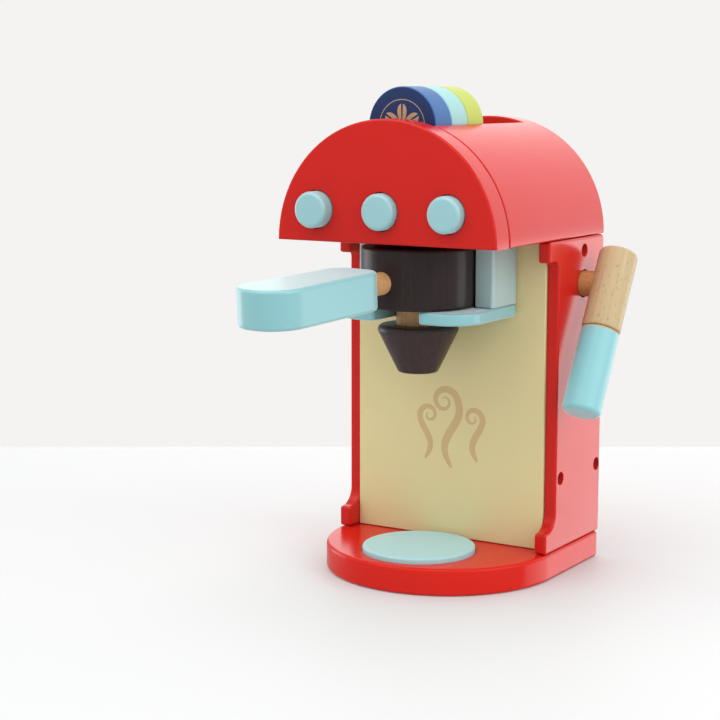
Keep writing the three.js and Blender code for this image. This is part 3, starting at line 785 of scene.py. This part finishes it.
def wood_material(name, colour, dark, axis="Z", tilt=0, roughness=0.45, gloss=0.35, flecks=0.6):
    """Close-grained hardwood: long soft streaks along the axis, with short dark flecks.
    The tilt, in degrees about X, turns an upright axis to the front."""
    material, tree, shader, place = new_material(name)
    upright = add_node(tree, "ShaderNodeVectorRotate", {
        "Vector": place, "Angle": math.radians(tilt),
    }, rotation_type="X_AXIS")

    def stretched(across, along):
        """Coordinates for a pattern that is this fine across the grain and along it."""
        mapping = add_node(tree, "ShaderNodeMapping", {
            "Vector": upright.outputs["Vector"],
            "Scale": [along if way == axis else across for way in "XYZ"],
        })
        return mapping.outputs["Vector"]

    streak = noise(tree, stretched(*STREAKS), 1, detail=4, roughness=0.55)
    fleck = add_node(tree, "ShaderNodeTexVoronoi", {"Vector": stretched(*FLECKS), "Scale": 1})
    spot = spanned(tree, fleck.outputs["Distance"], flecks, 0, *FLECK_RIM)
    cluster = noise(tree, stretched(*FLECK_CLUSTERS), 1)
    gathered = spanned(tree, cluster, 0, 1, *CLUSTER_RIM)
    speck = add_node(tree, "ShaderNodeMix", {
        "Factor": reckoned(tree, "MULTIPLY", spot, gathered),
        "A": ramp(tree, streak, (0.2, dark), (0.65, colour)),
        "B": (*[c * FLECK_SHADE for c in dark], 1),
    }, data_type="RGBA")
    bump = add_node(tree, "ShaderNodeBump", {
        "Height": streak, "Strength": 0.6, "Distance": STREAK_DEPTH,
    })
    set_inputs(tree, shader, {
        "Base Color": speck.outputs["Result"],
        "Roughness": spanned(tree, streak, roughness + 0.08, roughness - 0.08),
        "Specular IOR Level": gloss,
        "Normal": bump.outputs["Normal"],
    })
    return material


def steel_material(name, colour, roughness):
    """Zinc-plated steel: bright, with fine drawn scratches."""
    material, tree, shader, place = new_material(name)
    scratch = noise(tree, place, SCRATCH_SCALE)
    set_inputs(tree, shader, {
        "Base Color": (*colour, 1),
        "Metallic": 1,
        "Roughness": spanned(tree, scratch, roughness - 0.1, roughness + 0.12),
    })
    return material


def coil(name, front, half_width, depth, steps=40, sides=10):
    """Round wire wound about a line along Y, in a room of this half width and depth."""
    radius = half_width - SPRING_WIRE / 2
    rise = (depth - SPRING_WIRE) / (2 * math.pi * SPRING_TURNS)
    rings = SPRING_TURNS * steps + 1
    vertices = []
    for k in range(rings):
        turn = 2 * math.pi * k / steps
        out = Vector((math.cos(turn), 0, math.sin(turn)))
        ahead = Vector((-radius * out.z, rise, radius * out.x)).normalized()
        middle = Vector(front) + radius * out + Vector((0, SPRING_WIRE / 2 + rise * turn, 0))
        for j in range(sides):
            side = 2 * math.pi * j / sides
            spoke = out * math.cos(side) + ahead.cross(out) * math.sin(side)
            vertices.append(middle + spoke * SPRING_WIRE / 2)
    faces = [
        (k + j, k + (j + 1) % sides, k + sides + (j + 1) % sides, k + sides + j)
        for k in range(0, (rings - 1) * sides, sides) for j in range(sides)
    ]
    faces += [tuple(range(sides))[::-1], tuple(range((rings - 1) * sides, rings * sides))]
    made = mesh_object(name, vertices, faces)
    made.data.shade_smooth()
    return made


def facing_front(place):
    """Turns a piece made about Z to the front, with its back face at this place."""
    return Matrix.Translation(place) @ Matrix.Rotation(math.pi / 2, 4, "X")


beech_along_y = wood_material("beech along the stems", BEECH, BEECH_DARK, axis="Y")
steel = steel_material("zinc-plated steel", STEEL_GREY, STEEL_ROUGHNESS)
lit_cap_paint = paint_material("blue paint on the buttons, lightened as painted light", LIT_CAP_BLUE, roughness=0.38, gloss=1, haze=1)
for middle, word in button_places:
    low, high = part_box(f"button_cap_{word}")
    depth = high.y - low.y
    cap = turned(f"painted_button_{word}", [
        (0, 0, 0),
        (FLANGE_RADIUS, 0, FLANGE_EDGE),
        (FLANGE_RADIUS, FLANGE_THICKNESS, FLANGE_EDGE),
        (CAP_RADIUS, FLANGE_THICKNESS, 0),
        (CAP_RADIUS, depth, CAP_EDGE),
        (0, depth, 0),
    ], steps=10)
    flat = min(high.z - middle.z, middle.z - low.z)
    for vertex in cap.data.vertices:
        if vertex.co.z < FLANGE_THICKNESS + TOUCHING:
            vertex.co.y = max(-flat, min(flat, vertex.co.y))
    cap.data.transform(facing_front((middle.x, high.y, middle.z)))
    cap.data.materials.append(lit_cap_paint)
    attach(cap, f"button_{word}")
    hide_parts(f"button_cap_{word}")
    refinish(f"button_stem_{word}", beech_along_y)
    low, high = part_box(f"button_spring_{word}")
    spring_front = (middle.x, low.y, middle.z)
    spring = coil(f"wound_spring_{word}", spring_front, (high.x - low.x) / 2, high.y - low.y)
    spring.data.materials.append(steel)
    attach(spring, "machine")
    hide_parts(f"button_spring_{word}")
    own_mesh(spring)


# Filter holder, lower end: a beech neck joins the cylinder to the spout cone under it.
# The cone is turned and stained dark brown, with the grain showing through.
BROWN = (0.030, 0.018, 0.017)
BROWN_DARK = (0.017, 0.012, 0.012)
# The cone's brown is a lighter copy of the cylinder's stain: painted light on the cone.
CONE_BROWN_LIT = (0.052, 0.031, 0.030)
CONE_BROWN_LIT_DARK = (0.033, 0.021, 0.021)
# Beech made oranger and darker: painted shade and warm bounce light on the neck and dowel.
BEECH_IN_WARM_SHADE = (0.62, 0.35, 0.155)
BEECH_IN_WARM_SHADE_DARK = (0.48, 0.25, 0.10)
STAIN = {"roughness": 0.34, "gloss": 0.3, "flecks": 0.25}
NECK_EDGE = 0.0006
CONE_TOP = 0.0231
CONE_FOOT = 0.0105
CONE_TOP_EDGE = 0.0026
CONE_FOOT_EDGE = 0.0019

beech_upright_in_warm_shade = wood_material("beech in painted warm shade, upright", BEECH_IN_WARM_SHADE, BEECH_IN_WARM_SHADE_DARK)
# The cone takes the lighter copy of the stain, as painted light; the cylinder keeps the stain.
lit_cone_stain = wood_material("brown stain lightened as painted light on the cone", CONE_BROWN_LIT, CONE_BROWN_LIT_DARK, **STAIN)
neck_low, neck_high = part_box("filter_neck")
neck_radius = (neck_high.x - neck_low.x) / 2
neck = round_bar("beech_neck", neck_radius, neck_low.z, neck_high.z, NECK_EDGE, NECK_EDGE,
                 segments=64)
cone_low, cone_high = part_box("spout_cone")
cone = turned("stained_spout_cone", [
    (0, cone_low.z, 0),
    (CONE_FOOT, cone_low.z, CONE_FOOT_EDGE),
    (CONE_TOP, cone_high.z, CONE_TOP_EDGE),
    (0, cone_high.z, 0),
])
for made, node, finish, slot in (
    (neck, "filter_neck", beech_upright_in_warm_shade, "natural_wood"),
    (cone, "spout_cone", lit_cone_stain, "brown_paint"),
):
    made.data.transform(Matrix.Translation((0, group_y, 0)))
    made.data.materials.append(finish)
    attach(made, "filter_carrier")
    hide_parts(node)


# Filter holder, upper end: the stained cylinder sits in the block's seat, and a beech
# dowel joins it to the pale blue handle, a tapered board with a nearly round far end.
CYLINDER_EDGE = 0.0017
HANDLE_TURN = 9.1
HANDLE_DROOP = 3
HANDLE_RISE = 0.0158
HANDLE_START = 0.0464
HANDLE_LENGTH = 0.0813
HANDLE_ROOT_WIDTH = 0.032
HANDLE_END_WIDTH = 0.0395
HANDLE_HEIGHT = 0.02
HANDLE_EDGE = 0.0019
HANDLE_ROOT_RADIUS = 0.011
HANDLE_END_RADIUS = 0.0172
DOWEL_RADIUS = 0.006
DOWEL_SOCKET = 0.0167
DOWEL_EDGE = 0.0005

brown_stain = wood_material("brown stain", BROWN, BROWN_DARK, **STAIN)
beech_lying_in_warm_shade = wood_material("beech in painted warm shade, lying", BEECH_IN_WARM_SHADE, BEECH_IN_WARM_SHADE_DARK, axis="Y")
drum_low, drum_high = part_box("filter_cylinder")
drum_radius = (drum_high.x - drum_low.x) / 2
drum = round_bar("stained_filter_cylinder", drum_radius, drum_low.z, drum_high.z,
                 CYLINDER_EDGE, CYLINDER_EDGE, segments=128)
drum.data.transform(Matrix.Translation((0, group_y, 0)))
drum.data.materials.append(brown_stain)
aim = (
    Matrix.Translation((0, group_y, drum_low.z + HANDLE_RISE))
    @ Matrix.Rotation(math.radians(-90 - HANDLE_TURN), 4, "Z")
    @ Matrix.Rotation(math.radians(HANDLE_DROOP), 4, "Y")
)
along_x = Matrix.Rotation(math.pi / 2, 4, "Y")
dowel_start = drum_radius - DOWEL_SOCKET
dowel_end = HANDLE_START + DOWEL_SOCKET
dowel = round_bar("beech_handle_dowel", DOWEL_RADIUS, dowel_start, dowel_end,
                  DOWEL_EDGE, DOWEL_EDGE, segments=64)
dowel.data.transform(aim @ along_x)
dowel.data.materials.append(beech_lying_in_warm_shade)
handle_end = HANDLE_START + HANDLE_LENGTH
handle_outline = filleted([
    (HANDLE_START, -HANDLE_ROOT_WIDTH / 2, HANDLE_ROOT_RADIUS),
    (handle_end, -HANDLE_END_WIDTH / 2, HANDLE_END_RADIUS),
    (handle_end, HANDLE_END_WIDTH / 2, HANDLE_END_RADIUS),
    (HANDLE_START, HANDLE_ROOT_WIDTH / 2, HANDLE_ROOT_RADIUS),
], steps=24)
handle = board("painted_filter_handle", handle_outline, HANDLE_HEIGHT, HANDLE_EDGE, steps=6)
handle.data.transform(aim @ Matrix.Translation((0, 0, -HANDLE_HEIGHT / 2)))
handle.data.materials.append(pale_blue_paint)
for made, node, slot in (
    (drum, "filter_cylinder", "brown_paint"),
    (dowel, "handle_dowel", "natural_wood"),
    (handle, "filter_handle", "pale_blue_paint"),
):
    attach(made, "filter_holder")
    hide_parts(node)


# Side lever: a beech barrel on a peg through the right panel, with a painted grip.
# The grip's top edge is chamfered after painting, so a ring of bare wood shows there.
LEVER_TILT = 29.5
LEVER_RADIUS = 0.0105
LEVER_ABOVE = 0.0195
BARREL_BELOW = 0.0265
GRIP_LENGTH = 0.0475
LEVER_SEAM = 0.0003
LEVER_END_EDGE = 0.0026
LEVER_JOINT_EDGE = 0.0013
PEG_RADIUS = 0.007
PEG_EDGE = 0.0005
# The peg's beech is darker and oranger: painted red bounce from the side panel, and shade.
PEG_BEECH_WITH_RED_BOUNCE = (0.56, 0.28, 0.105)
PEG_BEECH_WITH_RED_BOUNCE_DARK = (0.44, 0.2, 0.07)
# The grip's blue is a brighter copy of the pale blue: painted light on the grip.
LIT_GRIP_BLUE = (0.235, 0.545, 0.58)

hang = Matrix.Translation(lever_axis) @ Matrix.Rotation(math.radians(-LEVER_TILT), 4, "X")
barrel = round_bar("beech_lever_barrel", LEVER_RADIUS, -BARREL_BELOW, LEVER_ABOVE,
                   LEVER_JOINT_EDGE, LEVER_END_EDGE, steps=8)
grip_top = -BARREL_BELOW - LEVER_SEAM
grip_bottom = grip_top - GRIP_LENGTH
grip = round_bar("painted_lever_grip", LEVER_RADIUS, grip_bottom, grip_top,
                 LEVER_END_EDGE, LEVER_JOINT_EDGE, steps=8)
peg_low, peg_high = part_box("lever_peg")
peg = round_bar("beech_lever_peg", PEG_RADIUS, 0, peg_high.x - peg_low.x, PEG_EDGE, PEG_EDGE,
                segments=64)
peg.data.transform(Matrix.Translation((peg_low.x, lever_axis.y, lever_axis.z)) @ along_x)
lit_grip_paint = paint_material("blue paint on the grip, lightened as painted light", LIT_GRIP_BLUE, roughness=0.4, gloss=0.6, haze=1)
grip.data.materials.append(lit_grip_paint)
for face in grip.data.polygons:
    if face.center.z > grip_top - LEVER_JOINT_EDGE:
        face.material_index = 1
for made in (barrel, grip):
    made.data.transform(hang)
beech_tilted = wood_material("beech on the lever", BEECH, BEECH_DARK, tilt=LEVER_TILT)
beech_across_with_red_bounce = wood_material("beech across, with painted red bounce and shade", PEG_BEECH_WITH_RED_BOUNCE, PEG_BEECH_WITH_RED_BOUNCE_DARK, axis="X")
for made, node, finish, slot in (
    (barrel, "lever_barrel", beech_tilted, "natural_wood"),
    (grip, "lever_grip", beech_tilted, "pale_blue_paint"),
    (peg, "lever_peg", beech_across_with_red_bounce, "natural_wood"),
):
    made.data.materials.append(finish)
    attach(made, "lever")
    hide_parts(node)
refinish("lever_collar", beech_across_with_red_bounce)
refinish("lever_screw", steel)


# Pods: three turned wooden discs stand in the slot, each painted in a colour of its own.
# Each has a tan ring and a six-petal flower printed on its face; the front one's face is
# darker than its rim, as painted shade.
POD_EDGE = 0.0009
POD_BLUE = (0.042, 0.14, 0.36)
POD_AQUA = (0.32, 0.57, 0.57)
POD_LIME = (0.47, 0.54, 0.09)
# The front pod's face is a darker copy of its rim's blue: painted shade on the face.
POD_BLUE_IN_SHADE = (0.014, 0.036, 0.125)
PRINT_TAN = (0.50, 0.315, 0.18)
PRINT_RING = 0.0134
PRINT_LINE = 0.0002
PRINT_VEIN = 0.00012
PRINT_PETALS = 6
PETAL_TIP_SHARE = 0.84
PETAL_ROOT_SHARE = 0.22
HEART_SHARE = 0.15
FACING = 0.9


def printed_material(name, ground, ink, centre):
    """A printed disc: a thin ring and a flower of petals in ink on a plain ground."""
    material = paint_material(name, ground, roughness=0.4, gloss=0.3)
    tree = material.node_tree
    shader = tree.nodes["Principled BSDF"]
    plain = shader.inputs["Base Color"].links[0].from_socket
    place = add_node(tree, "ShaderNodeTexCoord").outputs["Object"]
    apart = add_node(tree, "ShaderNodeSeparateXYZ", {"Vector": place}).outputs

    def step(kind, *values):
        return reckoned(tree, kind, *values)

    x = step("SUBTRACT", apart["X"], centre.x)
    z = step("SUBTRACT", apart["Z"], centre.z)
    radius = step("SQRT", step("ADD", step("MULTIPLY", x, x), step("MULTIPLY", z, z)))
    turn = step("MULTIPLY", step("ARCTAN2", x, z), PRINT_PETALS / 2)
    lobe = step("ABSOLUTE", step("COSINE", turn))
    reach = step("MULTIPLY", step("POWER", lobe, 0.5), PRINT_RING * PETAL_TIP_SHARE)
    outside_heart = step("GREATER_THAN", radius, PRINT_RING * PETAL_ROOT_SHARE)
    petal = step("MULTIPLY", step("LESS_THAN", radius, reach), outside_heart)
    beside_vein = step("MULTIPLY", step("SUBTRACT", 1, lobe), radius)
    vein = step("GREATER_THAN", beside_vein, PRINT_VEIN)
    off_ring = step("ABSOLUTE", step("SUBTRACT", radius, PRINT_RING))
    thin = step("LESS_THAN", off_ring, PRINT_LINE)
    heart = step("LESS_THAN", radius, PRINT_RING * HEART_SHARE)
    mark = step("MAXIMUM", step("MULTIPLY", petal, vein), step("MAXIMUM", thin, heart))
    mix = add_node(tree, "ShaderNodeMix", {
        "Factor": mark, "A": plain, "B": (*ink, 1),
    }, data_type="RGBA")
    set_inputs(tree, shader, {"Base Color": mix.outputs["Result"]})
    return material


for word, colour, face_colour in (
    ("front", POD_BLUE, POD_BLUE_IN_SHADE),
    ("middle", POD_AQUA, POD_AQUA),
    ("rear", POD_LIME, POD_LIME),
):
    low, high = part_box(f"pod_{word}")
    middle = (low + high) / 2
    pod = round_bar(f"painted_pod_{word}", (high.x - low.x) / 2, 0, high.y - low.y,
                    POD_EDGE, POD_EDGE, segments=128)
    pod.data.transform(facing_front((middle.x, high.y, middle.z)))
    rim_paint = paint_material(f"pod paint {word}", colour, roughness=0.42, gloss=0.2)
    face_print = printed_material(f"pod print {word}", face_colour, PRINT_TAN, middle)
    pod.data.materials.append(rim_paint)
    pod.data.materials.append(face_print)
    for face in pod.data.polygons:
        if face.normal.y < -FACING:
            face.material_index = 1
    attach(pod, f"pod_{word}")
    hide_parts(f"pod_{word}")


# Board screws: eight countersunk, cross-recessed wood screws hold the boards together.
# Each is sunk below the paint; zinc-plated steel, all alike.
SCREW_SIZES = {
    "Head radius": 0.0031,
    "Head depth": 0.0022,
    "Shank radius": 0.0016,
    "Length": 0.0188,
    "Cross width": 0.0008,
    "Cross length": 0.0034,
    "Cross depth": 0.0012,
}
HEAD_SIDES = 48
SHANK_SIDES = 24
SHANK_TIP_SHARE = 0.3

screw_nodes, screw_points, screw_ways = [], [], []
for word, side in (("left", -1), ("right", 1)):
    for kind in ("splash", "back", "top", "base"):
        low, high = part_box(f"{kind}_screw_{word}")
        middle = (low + high) / 2
        screw_nodes.append(f"{kind}_screw_{word}")
        if kind == "base":
            screw_points.append((middle.x, middle.y, low.z))
            screw_ways.append((0, 0, 1))
        else:
            screw_points.append((high.x if side > 0 else low.x, middle.y, middle.z))
            screw_ways.append((-side, 0, 0))

places = bpy.data.meshes.new("screw places")
places.from_pydata(screw_points, [], [])
drive = places.attributes.new("drive", "FLOAT_VECTOR", "POINT")
drive.data.foreach_set("vector", [value for way in screw_ways for value in way])

tree, given = piece_tree("countersunk screws", SCREW_SIZES)
head = add_node(tree, "GeometryNodeMeshCone", {
    "Vertices": HEAD_SIDES,
    "Radius Top": given["Shank radius"],
    "Radius Bottom": given["Head radius"],
    "Depth": given["Head depth"],
})
shank = add_node(tree, "GeometryNodeMeshCone", {
    "Vertices": SHANK_SIDES,
    "Radius Top": reckoned(tree, "MULTIPLY", given["Shank radius"], SHANK_TIP_SHARE),
    "Radius Bottom": given["Shank radius"],
    "Depth": reckoned(tree, "SUBTRACT", given["Length"], given["Head depth"]),
})
under_head = add_node(tree, "ShaderNodeCombineXYZ", {"Z": given["Head depth"]})
shank_moved = add_node(tree, "GeometryNodeTransform", {
    "Geometry": shank.outputs["Mesh"], "Translation": under_head.outputs["Vector"],
})
recessed = add_node(tree, "GeometryNodeMeshBoolean", {
    "Mesh 1": head.outputs["Mesh"],
}, operation="DIFFERENCE", solver="EXACT")
for long_way, short_way in (("X", "Y"), ("Y", "X")):
    slit_size = add_node(tree, "ShaderNodeCombineXYZ", {
        long_way: given["Cross length"],
        short_way: given["Cross width"],
        "Z": reckoned(tree, "MULTIPLY", given["Cross depth"], 2),
    })
    slit = add_node(tree, "GeometryNodeMeshCube", {"Size": slit_size.outputs["Vector"]})
    set_inputs(tree, recessed, {"Mesh 2": slit.outputs["Mesh"]})
whole = add_node(tree, "GeometryNodeJoinGeometry", {"Geometry": shank_moved.outputs["Geometry"]})
set_inputs(tree, whole, {"Geometry": recessed.outputs["Mesh"]})
way = add_node(tree, "GeometryNodeInputNamedAttribute", {"Name": "drive"},
               data_type="FLOAT_VECTOR")
aimed = add_node(tree, "FunctionNodeAlignRotationToVector", {
    "Vector": way.outputs["Attribute"],
}, axis="Z")
spread = add_node(tree, "GeometryNodeInstanceOnPoints", {
    "Points": given["Geometry"],
    "Instance": whole.outputs["Geometry"],
    "Rotation": aimed.outputs["Rotation"],
})
screws = grown("board_screws", tree, spread.outputs["Instances"], steel, places, SCREW_SIZES)
shaded(screws)
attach(screws, "machine")
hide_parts(*screw_nodes)


# Studio: a white table top that ends behind the machine, a pale wall beyond it, and a
# camera at the photograph's place. The wall is the world's colour; lamps are softboxes.
CAMERA_PLACE = (0.470784, -0.847477, 0.263346)
CAMERA_YAW = 31.755
CAMERA_PITCH = 8.713
CAMERA_LENS = 89.56
CAMERA_SENSOR = 36
CAMERA_SHIFT = 0.0007
TABLE_DEPTH = 0.33
TABLE_FRONT = 4
TABLE_HALF_WIDTH = 5
WALL_WHITE = (0.905, 0.895, 0.88)
TABLE_WHITE = (0.67, 0.677, 0.677)
FILL_STRENGTH = 0.82
ROOM_STRENGTH = 0.45

camera_data = bpy.data.cameras.new("camera")
camera_data.lens = CAMERA_LENS
camera_data.sensor_width = CAMERA_SENSOR
camera_data.shift_x = -CAMERA_SHIFT
camera_data.shift_y = CAMERA_SHIFT
camera = bpy.data.objects.new("camera", camera_data)
bpy.context.scene.collection.objects.link(camera)
yaw = math.radians(CAMERA_YAW)
pitch = math.radians(CAMERA_PITCH)
level = math.cos(pitch)
look = Vector((-math.sin(yaw) * level, math.cos(yaw) * level, -math.sin(pitch)))
camera.location = CAMERA_PLACE
camera.rotation_mode = "QUATERNION"
camera.rotation_quaternion = look.to_track_quat("-Z", "Y")
bpy.context.scene.camera = camera

away = Vector((look.x, look.y, 0)).normalized()
across = Vector((-away.y, away.x, 0))
table_side = across * TABLE_HALF_WIDTH
table_rear, table_front = away * TABLE_DEPTH, -away * TABLE_FRONT
table = mesh_object("table_top", [
    table_rear + table_side,
    table_rear - table_side,
    table_front - table_side,
    table_front + table_side,
], [(3, 2, 1, 0)])
table_white, tree, shader, _ = new_material("table white")
set_inputs(tree, shader, {
    "Base Color": (*TABLE_WHITE, 1), "Roughness": 0.6, "Specular IOR Level": 0.2,
})
table.data.materials.append(table_white)
table.visible_glossy = False

world = bpy.data.worlds.new("studio")
bpy.context.scene.world = world
world.use_nodes = True
tree = world.node_tree
fill = tree.nodes["Background"]
set_inputs(tree, fill, {"Color": (1, 1, 1, 1), "Strength": FILL_STRENGTH})
room = add_node(tree, "ShaderNodeBackground", {
    "Color": (1, 1, 1, 1), "Strength": ROOM_STRENGTH,
})
wall = add_node(tree, "ShaderNodeBackground", {"Color": (*WALL_WHITE, 1), "Strength": 1})
ray = add_node(tree, "ShaderNodeLightPath")
mirrored = add_node(tree, "ShaderNodeMixShader", {
    "Fac": ray.outputs["Is Glossy Ray"],
    1: fill.outputs["Background"],
    2: room.outputs["Background"],
})
either = add_node(tree, "ShaderNodeMixShader", {
    "Fac": ray.outputs["Is Camera Ray"],
    1: mirrored.outputs["Shader"],
    2: wall.outputs["Background"],
})
set_inputs(tree, tree.nodes["World Output"], {"Surface": either.outputs["Shader"]})


def softbox(name, place, target, width, height, strength):
    """An area lamp that looks at its target; strength is its brightness, as a colour's."""
    data = bpy.data.lights.new(name, "AREA")
    data.shape = "RECTANGLE"
    data.size = width
    data.size_y = height
    data.energy = strength * width * height * math.pi
    lamp = bpy.data.objects.new(name, data)
    lamp.location = place
    lamp.rotation_mode = "QUATERNION"
    lamp.rotation_quaternion = (Vector(target) - Vector(place)).to_track_quat("-Z", "Y")
    lamp.visible_camera = False
    bpy.context.scene.collection.objects.link(lamp)
    return lamp


machine_middle = (0, 0, 0.12)
for name, place, width, height, strength in (
    ("softbox behind", (-0.15, 1.7, 0.7), 3.2, 1.5, 1.25),
    ("softbox overhead", (-0.2, -0.45, 1.25), 1.5, 1.3, 1.4),
    ("softbox front left", (-0.5, -1.1, 1.0), 0.9, 0.9, 0.5),
    ("softbox right", (1.45, -0.25, 0.9), 1.4, 1.4, 1.7),
    ("softbox left", (-1.4, 0.05, 0.15), 0.7, 0.9, 2.2),
):
    softbox(name, place, machine_middle, width, height, strength)
window_foot = (0, 0, -0.1)
window = softbox("window behind right", (0.95, 1.15, -0.28), window_foot, 1.5, 0.75, 2.7)
window.visible_diffuse = False

bpy.context.scene.view_settings.view_transform = "Standard"
